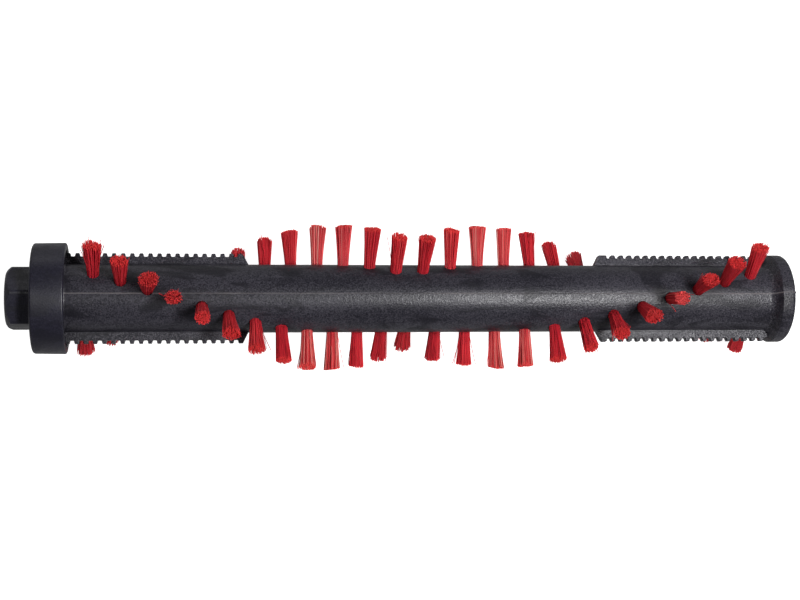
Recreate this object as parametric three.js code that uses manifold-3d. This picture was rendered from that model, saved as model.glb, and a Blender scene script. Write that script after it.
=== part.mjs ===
// Brush roll of a wet and dry floor cleaning head: a moulded core with two rows of stapled bristle
// tufts that wind towards the middle from both ends, toothed ribs along its ends, a drive hub at the
// right and, at the left, an end cap with a hexagonal boss that stands still on a ball bearing.
// Millimetres. +X runs along the spin axis from the end cap to the drive end, +Z is up, and the
// origin is on the spin axis, half way along the roll.
import * as THREE from "three";
import { mergeVertices } from "three/addons/utils/BufferGeometryUtils.js";
import Module from "manifold-3d";

const wasm = await Module();
wasm.setup();

// ---- driving dimensions ----
const HALF_LENGTH = 134; // from the middle to the hexagon's face, and to the drive end's face
const GAP = 0.3; // clearance between any two pieces

const CORE_CENTRE = 5.8; // X half way between the moulded core's shoulders
const CORE_RADIUS = 11.5;
const CORE_HALF = HALF_LENGTH - CORE_CENTRE;
const RIM_RADIUS = 15.4; // the collar moulded on each end of the core
const RIM_WIDTH = 4.85;
const RIM_FLARE = 1.9; // length of the flare from the core up to the rim
const RIM_ROUND = 1.3;

const SPIGOT_END = -124.2; // the core's left end, a spigot that goes through the dust seal

// Each toothed rib: 1 at the drive end or -1 at the cap, its angle around the spin axis from +Z towards
// +Y, and the length of its wide first tooth.
const RIBS = [
  { side: -1, angle: 98.5, firstTooth: 1.45 },
  { side: -1, angle: -81.5, firstTooth: 1.5 },
  { side: 1, angle: 98.5, firstTooth: 2.8 },
  { side: 1, angle: -81.5, firstTooth: 1.7 },
];
const RIB_ROOT_THICKNESS = 3.3;
const RIB_TIP_THICKNESS = 2.4;
const RIB_TIP_RADIUS = 15.2;
const RIB_BURIED = 1.2; // how far a rib reaches into the core
const RIB_INNER_END = 60.3; // from CORE_CENTRE to the foot of the sloped end
const RIB_OUTER_END = CORE_HALF - RIM_WIDTH - RIM_FLARE / 2; // from CORE_CENTRE, in the rim's flare
const RIB_SLOPE = 1.8;
const TOOTH_PITCH = 3;
const TOOTH_HEIGHT = 1.15;
const TOOTH_FOOT = 1.75;
const TOOTH_TOP = 1.3;
const TOOTH_COUNT = 19; // after the wide first tooth

// Two rows of tufts, each a V around the core: the X and angle of its point, how far the first tuft is
// from the point in steps, the degrees that each step turns, and the X pitch of the steps towards the
// end cap and towards the drive end.
const TUFT_ROWS = [
  { row: "a", middle: 0.45, apex: -134, offset: 0, turn: 14.94, left: 8.83, right: 9.955 },
  { row: "b", middle: -0.65, apex: 48.3, offset: 0.5, turn: 14.55, left: 8.7, right: 9.9 },
];
const TUFTS_EACH_SIDE = 12;
const TUFT_ROOT_RADIUS = 1.8;
const TUFT_TIP_RADIUS = 2.8;
const BRUSH_RADIUS = 25;
const HOLE_BOTTOM = 4.6; // distance of a tuft hole's bottom from the axis

const AXLE_RADIUS = 3;
const BORE_RADIUS = AXLE_RADIUS + GAP;

const CAP_RADIUS = 18.5; // at the open mouth; the outside tapers towards the hexagon
const CAP_TAPER = 0.15;
const CAP_MOUTH = -114.45;
const CAP_LIP_ROUND = 0.8;
const CAP_BACK = -125.4;
const CAP_FLOOR = CORE_CENTRE - CORE_HALF - GAP; // inside face of the cup
const CAP_ROUND = 1;
const MOUTH_CLEARANCE = 0.75; // between the core's rim and the cup
const HEX_ACROSS_FLATS = 19.3;
const HEX_VERTEX_ANGLE = 11.7;
const HEX_CHAMFER = 0.9;
const HEX_END_WALL = 1.5;

const BEARING = { outer: 7.5, width: 5, pitch: 5.3, ball: 1, balls: 8, left: -129.5 };
const BEARING_CHAMFER = 0.3;
const RACEWAY = 0.85; // half the width of the groove the balls run in
const SHIELD = { inner: 4.7, sheet: 0.4 }; // the thin walls that close the bearing's sides
const CAGE = { half: 1.3, thickness: 0.8 };
const NECK_RADIUS = 4.2; // core's spigot, which bears on the inner ring only
const SEAL_LIP = { land: 0.8, valley: 0.6, depth: 0.6 };
const RING = { thickness: 0.6, outer: 4.6, open: 28, groove: 0.5 }; // open is half the gap, in degrees
const AXLE_CHAMFER = 0.4;
const AXLE_PLAY = 0.4; // end play of the axle at each end

const HUB_RADIUS = 10;
const HUB_DEPTH = 6.1;
const HUB_CHAMFER = 0.5;
const HUB_KEY = { count: 3, width: 3, radius: 11.6, root: 8.5, length: 3.8 };
const SOCKET_ACROSS_FLATS = 12;
const SOCKET_DEPTH = 4.8;
const SOCKET_LEAD_IN = { depth: 0.5, inner: 6.45, outer: 6.95 };
const PAST = 1; // how far a cutting shape reaches past the face it opens

// ---- materials ----
const plastic = new THREE.MeshStandardMaterial({ color: 0x252429, roughness: 0.55, metalness: 0 });
const capPlastic = new THREE.MeshStandardMaterial({ color: 0x222126, roughness: 0.5, metalness: 0 });
const bristle = new THREE.MeshStandardMaterial({ color: 0xc9222b, roughness: 0.5, metalness: 0 });
const steel = new THREE.MeshStandardMaterial({ color: 0xb9bcc0, roughness: 0.3, metalness: 1 });
const springSteel = new THREE.MeshStandardMaterial({ color: 0x6e6f73, roughness: 0.4, metalness: 1 });
const cageSteel = new THREE.MeshStandardMaterial({ color: 0xd2d4d8, roughness: 0.2, metalness: 1 });
const rubber = new THREE.MeshStandardMaterial({ color: 0x1a1a1b, roughness: 0.8, metalness: 0 });
const nylon = new THREE.MeshStandardMaterial({ color: 0x3b3c40, roughness: 0.6, metalness: 0 });

// ---- solids ----
// A closed geometry as a solid that can be joined and cut.
function solid(geometry) {
  const bare = geometry.index ? geometry.toNonIndexed() : geometry.clone();
  bare.deleteAttribute("normal");
  bare.deleteAttribute("uv");
  const merged = mergeVertices(bare, 1e-4);
  return new wasm.Manifold(
    new wasm.Mesh({
      numProp: 3,
      vertProperties: merged.attributes.position.array,
      triVerts: new Uint32Array(merged.index.array),
    }),
  );
}

// A solid back as a geometry.
function geometryOf(made) {
  const mesh = made.getMesh();
  const places = new Float32Array(mesh.numVert * 3);
  for (let i = 0; i < mesh.numVert; i++)
    places.set(mesh.vertProperties.subarray(i * mesh.numProp, i * mesh.numProp + 3), i * 3);
  const geometry = new THREE.BufferGeometry();
  geometry.setAttribute("position", new THREE.BufferAttribute(places, 3));
  geometry.setIndex(new THREE.BufferAttribute(mesh.triVerts, 1));
  geometry.computeVertexNormals();
  return geometry;
}

// A profile of [X, radius] points, turned about the X axis. It runs with the material on its left.
function turned(profile, segments) {
  const points = profile.map(([x, r]) => new THREE.Vector2(r, x)).reverse();
  return new THREE.LatheGeometry(points, segments).rotateZ(-Math.PI / 2);
}

// Points of an arc in a profile, by its centre and its angles in degrees from +X towards +radius.
function arc(x, r, radius, from, to, steps) {
  return Array.from({ length: steps + 1 }, (_, i) => {
    const angle = THREE.MathUtils.degToRad(from + ((to - from) * i) / steps);
    return [x + radius * Math.cos(angle), r + radius * Math.sin(angle)];
  });
}

// Turns a geometry whose +Y is radial so that it points at an angle around the axis, from +Z to +Y.
const radialTurn = (degrees) => THREE.MathUtils.degToRad(90 - degrees);

// A regular hexagon in the YZ plane, pushed along +X, with its first vertex at an angle from +Z.
function hexagon(acrossFlats, vertexAngle, left, length, chamfer = 0) {
  const shape = new THREE.Shape();
  for (let i = 0; i < 6; i++) {
    const angle = THREE.MathUtils.degToRad(vertexAngle + 60 * i);
    const radius = (acrossFlats - 2 * chamfer) / Math.sqrt(3);
    const [y, z] = [radius * Math.sin(angle), radius * Math.cos(angle)];
    if (i) shape.lineTo(y, z);
    else shape.moveTo(y, z);
  }
  const pushed = new THREE.ExtrudeGeometry(shape, {
    depth: length - 2 * chamfer,
    bevelEnabled: chamfer > 0,
    bevelSize: chamfer,
    bevelThickness: chamfer,
    bevelSegments: 2,
  });
  // the shape's x, y and depth become Y, Z and X
  const axes = new THREE.Matrix4().makeBasis(
    new THREE.Vector3(0, 1, 0),
    new THREE.Vector3(0, 0, 1),
    new THREE.Vector3(1, 0, 0),
  );
  return pushed.applyMatrix4(axes).translate(left + chamfer, 0, 0);
}

// ---- core ----
function coreBody() {
  const left = CORE_CENTRE - CORE_HALF;
  const right = HALF_LENGTH;
  const pocket = HALF_LENGTH - HUB_DEPTH - 2 * GAP;
  const leftRim = left + RIM_WIDTH;
  const rightRim = right - RIM_WIDTH;
  return turned(
    [
      [SPIGOT_END, BORE_RADIUS],
      [pocket, BORE_RADIUS],
      [pocket, HUB_RADIUS + GAP],
      [right, HUB_RADIUS + GAP],
      ...arc(right - RIM_ROUND, RIM_RADIUS - RIM_ROUND, RIM_ROUND, 0, 90, 3),
      [rightRim, RIM_RADIUS],
      [rightRim - RIM_FLARE, CORE_RADIUS],
      [leftRim + RIM_FLARE, CORE_RADIUS],
      [leftRim, RIM_RADIUS],
      ...arc(left + RIM_ROUND, RIM_RADIUS - RIM_ROUND, RIM_ROUND, 90, 180, 3),
      [left, NECK_RADIUS],
      [SPIGOT_END, NECK_RADIUS],
      [SPIGOT_END, BORE_RADIUS],
    ],
    48,
  );
}

// One toothed rib, with its sloped end towards the middle, thinner at its tip than at its root.
function rib({ side, angle, firstTooth }) {
  const root = CORE_RADIUS - RIB_BURIED;
  const valley = RIB_TIP_RADIUS - TOOTH_HEIGHT;
  const firstTop = RIB_INNER_END + RIB_SLOPE;
  const flank = (TOOTH_FOOT - TOOTH_TOP) / 2;
  const outline = [
    [RIB_INNER_END - (RIB_SLOPE * RIB_BURIED) / (RIB_TIP_RADIUS - CORE_RADIUS), root],
    [firstTop, RIB_TIP_RADIUS],
    [firstTop + firstTooth, RIB_TIP_RADIUS],
    [firstTop + firstTooth + flank, valley],
  ];
  const firstCentre = firstTop + firstTooth + flank + TOOTH_PITCH - TOOTH_FOOT / 2;
  for (let i = 0; i < TOOTH_COUNT; i++) {
    const middle = firstCentre + i * TOOTH_PITCH;
    if (middle + TOOTH_FOOT / 2 > RIB_OUTER_END) break;
    outline.push([middle - TOOTH_FOOT / 2, valley], [middle - TOOTH_TOP / 2, RIB_TIP_RADIUS]);
    outline.push([middle + TOOTH_TOP / 2, RIB_TIP_RADIUS], [middle + TOOTH_FOOT / 2, valley]);
  }
  outline.push([RIB_OUTER_END, valley], [RIB_OUTER_END, root]);
  const shape = new THREE.Shape(outline.map(([x, r]) => new THREE.Vector2(x * side, r)));
  const plate = new THREE.ExtrudeGeometry(shape, { depth: 1, bevelEnabled: false }).translate(0, 0, -0.5);
  const corners = plate.attributes.position;
  for (let i = 0; i < corners.count; i++) {
    const share = (corners.getY(i) - CORE_RADIUS) / (RIB_TIP_RADIUS - CORE_RADIUS);
    const thickness = RIB_ROOT_THICKNESS + share * (RIB_TIP_THICKNESS - RIB_ROOT_THICKNESS);
    corners.setZ(i, corners.getZ(i) * thickness);
  }
  return plate.translate(CORE_CENTRE, 0, 0).rotateX(radialTurn(angle));
}

// Where each tuft stands: its name, its X and its angle.
function tuftPlaces() {
  const places = [];
  for (const { row, middle, apex, offset, turn, left, right } of TUFT_ROWS) {
    const last = TUFTS_EACH_SIDE + offset;
    for (let step = -last, number = 1; step <= last; step++, number++) {
      const name = `tuft_${row}_${String(number).padStart(2, "0")}`;
      const x = middle + step * (step < 0 ? left : right);
      places.push({ name, x, angle: apex + turn * Math.abs(step) });
    }
  }
  return places;
}

function tuftHole({ x, angle }) {
  const radius = TUFT_ROOT_RADIUS + GAP;
  const length = CORE_RADIUS + PAST - HOLE_BOTTOM;
  return new THREE.CylinderGeometry(radius, radius, length, 10)
    .translate(0, HOLE_BOTTOM + length / 2, 0)
    .rotateX(radialTurn(angle))
    .translate(x, 0, 0);
}

// The slots in the drive end's pocket that the hub's keys sit in.
function hubKey(index, room) {
  const length = HUB_KEY.length + room;
  const outer = HUB_KEY.radius + room;
  return new THREE.BoxGeometry(length, outer - HUB_KEY.root, HUB_KEY.width + 2 * room)
    .translate(HALF_LENGTH - GAP - HUB_KEY.length / 2 + room / 2, (outer + HUB_KEY.root) / 2, 0)
    .rotateX(radialTurn((index * 360) / HUB_KEY.count));
}

function core() {
  const joined = [solid(coreBody())];
  for (const one of RIBS) joined.push(solid(rib(one)));
  const cuts = tuftPlaces().map((place) => solid(tuftHole(place)));
  for (let i = 0; i < HUB_KEY.count; i++) cuts.push(solid(hubKey(i, GAP)));
  return geometryOf(wasm.Manifold.union(joined).subtract(wasm.Manifold.union(cuts)));
}

// ---- tuft: a bundle of nylon filaments folded into its hole, spreading towards the floor ----
function tuft() {
  const points = [
    [0, HOLE_BOTTOM + GAP],
    [TUFT_ROOT_RADIUS, HOLE_BOTTOM + GAP],
    [TUFT_ROOT_RADIUS, CORE_RADIUS - GAP],
    [TUFT_TIP_RADIUS, BRUSH_RADIUS],
    [0, BRUSH_RADIUS],
  ];
  return new THREE.LatheGeometry(points.map(([r, y]) => new THREE.Vector2(r, y)), 10);
}

// ---- axle: a steel rod through the core, with a groove for the retaining ring ----
function axle() {
  const leftEnd = -HALF_LENGTH + HEX_END_WALL + AXLE_PLAY;
  const ringLeft = BEARING.left - GAP - RING.thickness;
  const groove = [ringLeft - GAP, ringLeft + RING.thickness + GAP];
  const rightEnd = HALF_LENGTH - HUB_DEPTH - GAP - AXLE_PLAY;
  return turned(
    [
      [leftEnd, 0],
      [rightEnd, 0],
      [rightEnd, AXLE_RADIUS - AXLE_CHAMFER],
      [rightEnd - AXLE_CHAMFER, AXLE_RADIUS],
      [groove[1], AXLE_RADIUS],
      [groove[1], AXLE_RADIUS - RING.groove],
      [groove[0], AXLE_RADIUS - RING.groove],
      [groove[0], AXLE_RADIUS],
      [leftEnd + AXLE_CHAMFER, AXLE_RADIUS],
      [leftEnd, AXLE_RADIUS - AXLE_CHAMFER],
      [leftEnd, 0],
    ],
    24,
  );
}

// ---- end cap: a cup over the core's left rim, with the hexagonal boss around the bearing ----
function endCap() {
  const small = CAP_RADIUS - CAP_TAPER;
  const outside = turned(
    [
      [CAP_MOUTH, 0],
      ...arc(CAP_MOUTH - CAP_LIP_ROUND, CAP_RADIUS - CAP_LIP_ROUND, CAP_LIP_ROUND, 0, 90, 2),
      ...arc(CAP_BACK + CAP_ROUND, small - CAP_ROUND, CAP_ROUND, 90, 180, 3),
      [CAP_BACK, 0],
    ],
    48,
  );
  const boss = hexagon(
    HEX_ACROSS_FLATS,
    HEX_VERTEX_ANGLE,
    -HALF_LENGTH,
    HALF_LENGTH + CAP_BACK + HEX_CHAMFER + GAP,
    HEX_CHAMFER,
  );
  const seat = BEARING.outer + GAP;
  const mouth = RIM_RADIUS + MOUTH_CLEARANCE;
  const inside = turned(
    [
      [-HALF_LENGTH + HEX_END_WALL, 0],
      [CAP_MOUTH + PAST, 0],
      [CAP_MOUTH + PAST, mouth],
      [CAP_FLOOR, mouth],
      [CAP_FLOOR, seat],
      [-HALF_LENGTH + HEX_END_WALL, seat],
      [-HALF_LENGTH + HEX_END_WALL, 0],
    ],
    48,
  );
  return geometryOf(solid(outside).add(solid(boss)).subtract(solid(inside)));
}

// ---- ball bearing ----
const bearingMiddle = BEARING.left + BEARING.width / 2;
const bearingRight = BEARING.left + BEARING.width;

// The outer ring with its two shields.
function bearingOuterRing() {
  const land = BEARING.pitch + BEARING.ball;
  return turned(
    [
      [BEARING.left, SHIELD.inner],
      [BEARING.left + SHIELD.sheet, SHIELD.inner],
      [BEARING.left + SHIELD.sheet, land],
      [bearingMiddle - RACEWAY, land],
      [bearingMiddle, land + GAP],
      [bearingMiddle + RACEWAY, land],
      [bearingRight - SHIELD.sheet, land],
      [bearingRight - SHIELD.sheet, SHIELD.inner],
      [bearingRight, SHIELD.inner],
      [bearingRight, BEARING.outer - BEARING_CHAMFER],
      [bearingRight - BEARING_CHAMFER, BEARING.outer],
      [BEARING.left + BEARING_CHAMFER, BEARING.outer],
      [BEARING.left, BEARING.outer - BEARING_CHAMFER],
      [BEARING.left, SHIELD.inner],
    ],
    32,
  );
}

function bearingInnerRing() {
  const bottom = BEARING.pitch - BEARING.ball - GAP;
  const land = BEARING.pitch - BEARING.ball - 0.05;
  return turned(
    [
      [BEARING.left, BORE_RADIUS],
      [bearingRight, BORE_RADIUS],
      [bearingRight, land],
      [bearingMiddle + RACEWAY, land],
      [bearingMiddle, bottom],
      [bearingMiddle - RACEWAY, land],
      [BEARING.left, land],
      [BEARING.left, BORE_RADIUS],
    ],
    32,
  );
}

// The balls with the cage that spaces them.
function ballCage() {
  const inner = BEARING.pitch - CAGE.thickness / 2;
  const outer = BEARING.pitch + CAGE.thickness / 2;
  const band = turned(
    [
      [bearingMiddle - CAGE.half, inner],
      [bearingMiddle + CAGE.half, inner],
      [bearingMiddle + CAGE.half, outer],
      [bearingMiddle - CAGE.half, outer],
      [bearingMiddle - CAGE.half, inner],
    ],
    32,
  );
  let joined = solid(band);
  for (let i = 0; i < BEARING.balls; i++) {
    const ball = new THREE.SphereGeometry(BEARING.ball, 12, 8)
      .translate(bearingMiddle, BEARING.pitch, 0)
      .rotateX((i * 2 * Math.PI) / BEARING.balls);
    joined = joined.add(solid(ball));
  }
  return geometryOf(joined);
}

// A rubber ring between the bearing and the core's shoulder, which keeps water out of the bearing.
function dustSeal() {
  const left = bearingRight + GAP;
  const right = CAP_FLOOR - GAP / 3;
  const inner = NECK_RADIUS + GAP;
  return turned(
    [
      [left, inner],
      [right, inner],
      [right, inner + SEAL_LIP.land],
      [right - SEAL_LIP.depth, inner + SEAL_LIP.land + SEAL_LIP.valley],
      [right, BEARING.outer - SEAL_LIP.valley],
      [right, BEARING.outer],
      [left, BEARING.outer],
      [left, inner],
    ],
    32,
  );
}

// A snap ring in the axle's groove.
function retainingRing() {
  const inner = AXLE_RADIUS - RING.groove + GAP;
  const open = THREE.MathUtils.degToRad(RING.open);
  const shape = new THREE.Shape();
  shape.absarc(0, 0, RING.outer, open, 2 * Math.PI - open, false);
  shape.absarc(0, 0, inner, 2 * Math.PI - open, open, true);
  return new THREE.ExtrudeGeometry(shape, { depth: RING.thickness, bevelEnabled: false, curveSegments: 14 })
    .rotateY(Math.PI / 2)
    .translate(BEARING.left - GAP - RING.thickness, 0, 0);
}

// ---- drive hub: the keyed insert at the right end, with the hexagonal socket for the drive ----
function driveHub() {
  const right = HALF_LENGTH - GAP;
  const left = right - HUB_DEPTH;
  const body = turned(
    [
      [left, 0],
      [right, 0],
      [right, HUB_RADIUS],
      [left + HUB_CHAMFER, HUB_RADIUS],
      [left, HUB_RADIUS - HUB_CHAMFER],
      [left, 0],
    ],
    36,
  );
  let made = solid(body);
  for (let i = 0; i < HUB_KEY.count; i++) made = made.add(solid(hubKey(i, 0)));
  const socket = hexagon(SOCKET_ACROSS_FLATS, 0, right - SOCKET_DEPTH, SOCKET_DEPTH + PAST);
  const leadIn = turned(
    [
      [right - SOCKET_LEAD_IN.depth, 0],
      [right, 0],
      [right, SOCKET_LEAD_IN.outer],
      [right - SOCKET_LEAD_IN.depth, SOCKET_LEAD_IN.inner],
      [right - SOCKET_LEAD_IN.depth, 0],
    ],
    36,
  );
  return geometryOf(made.subtract(solid(socket)).subtract(solid(leadIn)));
}

// ---- assembly ----
function piece(name, geometry, material) {
  const mesh = new THREE.Mesh(geometry, material);
  mesh.name = name;
  return mesh;
}

// The pieces that spin together.
const roller = new THREE.Group();
roller.add(piece("roller_core", core(), plastic));
roller.add(piece("axle", axle(), steel));
roller.add(piece("drive_hub", driveHub(), nylon));
roller.add(piece("bearing_inner_ring", bearingInnerRing(), steel));
roller.add(piece("retaining_ring", retainingRing(), springSteel));
const tuftShape = tuft();
for (const place of tuftPlaces()) {
  const mesh = piece(place.name, tuftShape, bristle);
  mesh.rotation.x = radialTurn(place.angle);
  mesh.position.x = place.x;
  roller.add(mesh);
}

// The pieces that stand still in the cleaning head.
const stillEnd = new THREE.Group();
stillEnd.add(piece("end_cap", endCap(), capPlastic));
stillEnd.add(piece("bearing_outer_ring", bearingOuterRing(), steel));
stillEnd.add(piece("dust_seal", dustSeal(), rubber));

const brushRoll = new THREE.Group();
brushRoll.add(stillEnd, piece("ball_cage", ballCage(), cageSteel), roller);

export default brushRoll;
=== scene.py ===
# Visual model of the brush roll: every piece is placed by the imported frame's own nodes.
# X runs along the spin axis, from the hexagonal boss to the drive end; +Z is up. Metres.
import math
import random

import bmesh
import bpy
from mathutils import Matrix, Vector

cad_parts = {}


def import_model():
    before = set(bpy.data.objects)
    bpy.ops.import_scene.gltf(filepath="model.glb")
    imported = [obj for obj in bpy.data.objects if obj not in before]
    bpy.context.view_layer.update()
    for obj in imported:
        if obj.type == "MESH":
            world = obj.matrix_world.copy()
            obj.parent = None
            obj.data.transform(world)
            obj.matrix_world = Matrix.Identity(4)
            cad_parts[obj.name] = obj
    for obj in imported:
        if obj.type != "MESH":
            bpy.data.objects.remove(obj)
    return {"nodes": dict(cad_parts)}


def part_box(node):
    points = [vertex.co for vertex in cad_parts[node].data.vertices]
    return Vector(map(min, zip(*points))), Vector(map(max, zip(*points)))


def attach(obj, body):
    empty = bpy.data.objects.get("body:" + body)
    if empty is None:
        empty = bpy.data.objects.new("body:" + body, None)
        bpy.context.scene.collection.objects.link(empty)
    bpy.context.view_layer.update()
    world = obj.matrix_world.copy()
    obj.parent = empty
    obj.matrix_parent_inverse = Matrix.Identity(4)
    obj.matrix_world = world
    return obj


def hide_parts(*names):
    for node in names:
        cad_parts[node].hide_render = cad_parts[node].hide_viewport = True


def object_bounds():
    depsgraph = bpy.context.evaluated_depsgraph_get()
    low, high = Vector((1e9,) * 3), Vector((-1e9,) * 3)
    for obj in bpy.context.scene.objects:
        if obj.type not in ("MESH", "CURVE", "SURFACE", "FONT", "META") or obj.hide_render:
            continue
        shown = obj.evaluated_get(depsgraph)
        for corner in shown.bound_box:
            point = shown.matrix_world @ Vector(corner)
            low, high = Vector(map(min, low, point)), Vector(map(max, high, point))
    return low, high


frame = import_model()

CAD_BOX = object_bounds()
MM = 0.001

# ---- sizes, from the frame where it has them ----
CORE_LOW, CORE_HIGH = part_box("roller_core")
CAP_LOW, CAP_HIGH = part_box("end_cap")
CORE_MIDDLE = 5.8 * MM  # half way between the core's shoulders
CORE_RIGHT = CORE_HIGH.x
CORE_HALF = CORE_RIGHT - CORE_MIDDLE
CORE_LEFT = CORE_MIDDLE - CORE_HALF
SPIGOT_END = CORE_LOW.x
CORE_RADIUS = 11.5 * MM
RIM_RADIUS = 15.4 * MM
RIM_WIDTH = 4.85 * MM
RIM_FLARE = 1.9 * MM
RIM_ROUND = 1.3 * MM  # of a rim's outer edge
RIM_INNER_ROUND = 0.35 * MM
RIM_FILLET = 2.4 * MM
BORE_RADIUS = 3.3 * MM
SPIGOT_RADIUS = 4.2 * MM
GAP = 0.3 * MM  # between pieces
MOULDED_ROUND = 0.2 * MM  # of small moulded edges
POCKET_CHAMFER = 0.3 * MM
PROFILE_STEPS = 24  # along the plain stretch between the rims

PARTING_ANGLE = 8.5  # degrees from +Z towards +Y: where the two mould halves met, and half a turn on
PARTING_FLASH = 0.14 * MM
FLASH_HALF_WIDTH = 0.5  # degrees
PARTING_STEP = 0.05 * MM
STEP_WIDTH = 0.6  # degrees
FLASH_ANGLES = (-0.8, -0.5, -0.25, 0, 0.25, 0.5, 0.8)  # degrees from each parting line
FLASH_CLEAR = 1.4  # degrees from a parting line to the nearest even step
FLASH_EDGE = 1.2  # degrees from a parting line to where the plain cylinder starts
CORE_STEPS = 200  # around
NUB_RADIUS = 0.45 * MM  # a nub of flash on the drive end's rim
NUB_IN_FROM_RIM = 1.1 * MM
NUB_IN_FROM_END = 0.15 * MM

# each rib: -1 at the cap or 1 at the drive end, its angle, and its wide first tooth
RIBS = (
    (-1, PARTING_ANGLE + 90, 1.45 * MM),
    (-1, PARTING_ANGLE - 90, 1.5 * MM),
    (1, PARTING_ANGLE + 90, 2.8 * MM),
    (1, PARTING_ANGLE - 90, 1.7 * MM),
)
RIB_ROOT_THICKNESS = 3.3 * MM
RIB_TIP_THICKNESS = 2.4 * MM
RIB_TIP = 15.2 * MM
RIB_INNER_END = 60.3 * MM
RIB_SLOPE = 1.8 * MM
RIB_OUTER_END = CORE_HALF - RIM_WIDTH - RIM_FLARE / 2
RIB_ROOT = CORE_RADIUS - 1.2 * MM  # sunk into the core
TOOTH_PITCH = 3 * MM
TOOTH_HEIGHT = 1.15 * MM
TOOTH_FOOT = 1.75 * MM
TOOTH_TOP = 1.3 * MM
TOOTH_ROUND = 0.3 * MM
TOOTH_COUNT = 19

HUB_RADIUS = 10 * MM
HUB_KEYS = 3
HUB_KEY_ROOT = 8.5 * MM
HUB_KEY_TIP = 11.6 * MM
HUB_KEY_LENGTH = 3.8 * MM
HUB_KEY_WIDTH = 3 * MM
SOCKET_FLATS = 12 * MM
SOCKET_DEPTH = 4.8 * MM
LEAD_IN_DEPTH = 0.5 * MM
LEAD_IN_PAST = 0.3 * MM
LEAD_IN_RADII = (6.4 * MM, 7.3 * MM)
CUT_PAST = 1 * MM  # how far a cutting shape stands out of what it cuts

HOLE_RADIUS = 2.1 * MM
HOLE_BOTTOM = 4.6 * MM
HOLE_CUT = 8 * MM
TUFTS = sorted(n for n in frame["nodes"] if n.startswith("tuft_"))


# ---- mesh helpers ----
def spoke(degrees):
    """The unit vector square to the spin axis at an angle from +Z towards +Y."""
    angle = math.radians(degrees)
    return Vector((0, math.sin(angle), math.cos(angle)))


def off_parting(degrees):
    """How far an angle is past the nearer of the two parting lines, or before it if negative, in degrees."""
    return (degrees - PARTING_ANGLE + 90) % 180 - 90


def linked(name, data):
    """A new object in the scene."""
    made = bpy.data.objects.new(name, data)
    bpy.context.scene.collection.objects.link(made)
    return made


def smooth(mesh, sharp_angle=32):
    """Smooth shading, except where faces meet at more than sharp_angle degrees."""
    mesh.shade_smooth()
    mesh.set_sharp_from_angle(angle=math.radians(sharp_angle))


def new_object(name, bm):
    """An object from a bmesh, which it uses up."""
    bmesh.ops.recalc_face_normals(bm, faces=bm.faces)
    mesh = bpy.data.meshes.new(name)
    bm.to_mesh(mesh)
    bm.free()
    smooth(mesh, 35)
    return linked(name, mesh)


def arc(x, r, radius, start, end, steps):
    """Points of an arc in a profile; angles in degrees from +X towards +radius."""
    points = []
    for i in range(steps + 1):
        angle = math.radians(start + (end - start) * i / steps)
        points.append((x + radius * math.cos(angle), r + radius * math.sin(angle)))
    return points


def turned(profile, angles, bulge=None):
    """A closed bmesh: (x, r) points turned about the X axis. bulge(r, degrees) moves a point outwards."""
    bm = bmesh.new()
    rings = []
    for x, r in profile:
        if r < 1e-9:
            rings.append([bm.verts.new((x, 0, 0))] * len(angles))
            continue
        ring = []
        for degrees in angles:
            lift = bulge(r, degrees) if bulge else 0
            ring.append(bm.verts.new(spoke(degrees) * (r + lift) + Vector((x, 0, 0))))
        rings.append(ring)
    closed = profile[0][1] > 1e-9
    pairs = list(zip(rings, rings[1:]))
    if closed:
        pairs.append((rings[-1], rings[0]))
    for a, b in pairs:
        for i in range(len(angles)):
            j = (i + 1) % len(angles)
            corners = list(dict.fromkeys((a[i], a[j], b[j], b[i])))
            if len(corners) > 2:
                bm.faces.new(corners)
    return bm


def even_angles(count):
    """A full turn in even steps, in degrees."""
    return [360 * i / count for i in range(count)]


def pushed(outline, direction, thickness):
    """A closed bmesh: an outline of points, pushed both ways by half the thickness."""
    bm = bmesh.new()
    half = direction * (thickness / 2)
    low = [bm.verts.new(p - half) for p in outline]
    high = [bm.verts.new(p + half) for p in outline]
    bm.faces.new(low[::-1])
    bm.faces.new(high)
    for i in range(len(outline)):
        j = (i + 1) % len(outline)
        bm.faces.new((low[i], low[j], high[j], high[i]))
    bmesh.ops.recalc_face_normals(bm, faces=bm.faces)
    return bm


def joined(parts):
    """One bmesh out of several."""
    bm = bmesh.new()
    for part in parts:
        scratch = bpy.data.meshes.new("scratch")
        part.to_mesh(scratch)
        part.free()
        bm.from_mesh(scratch)
        bpy.data.meshes.remove(scratch)
    return bm


def boolean(target, operation, tool_bm):
    """Joins a bmesh to an object, or cuts it away, and keeps the result in the object's mesh."""
    tool = new_object("tool", tool_bm)
    modifier = target.modifiers.new("boolean", "BOOLEAN")
    modifier.operation = operation
    modifier.object = tool
    modifier.solver = "MANIFOLD"
    graph = bpy.context.evaluated_depsgraph_get()
    made = bpy.data.meshes.new_from_object(target.evaluated_get(graph))
    target.modifiers.remove(modifier)
    old = target.data
    target.data = made
    bpy.data.meshes.remove(old)
    old = tool.data
    bpy.data.objects.remove(tool)
    bpy.data.meshes.remove(old)


def rod(start, direction, radius, length, sides):
    """A closed cylinder from start along direction."""
    bm = bmesh.new()
    place = Matrix.Translation(start + direction * (length / 2))
    turn = direction.to_track_quat("Z", "Y").to_matrix().to_4x4()
    bmesh.ops.create_cone(
        bm, cap_ends=True, segments=sides, radius1=radius, radius2=radius, depth=length, matrix=place @ turn
    )
    return bm


def bevelled(bm, width, segments, chosen):
    """Rounds the edges that chosen(edge) picks."""
    edges = [e for e in bm.edges if chosen(e)]
    bmesh.ops.bevel(
        bm, geom=edges, offset=width, segments=segments, profile=0.5, affect="EDGES", clamp_overlap=True
    )
    return bm


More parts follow.
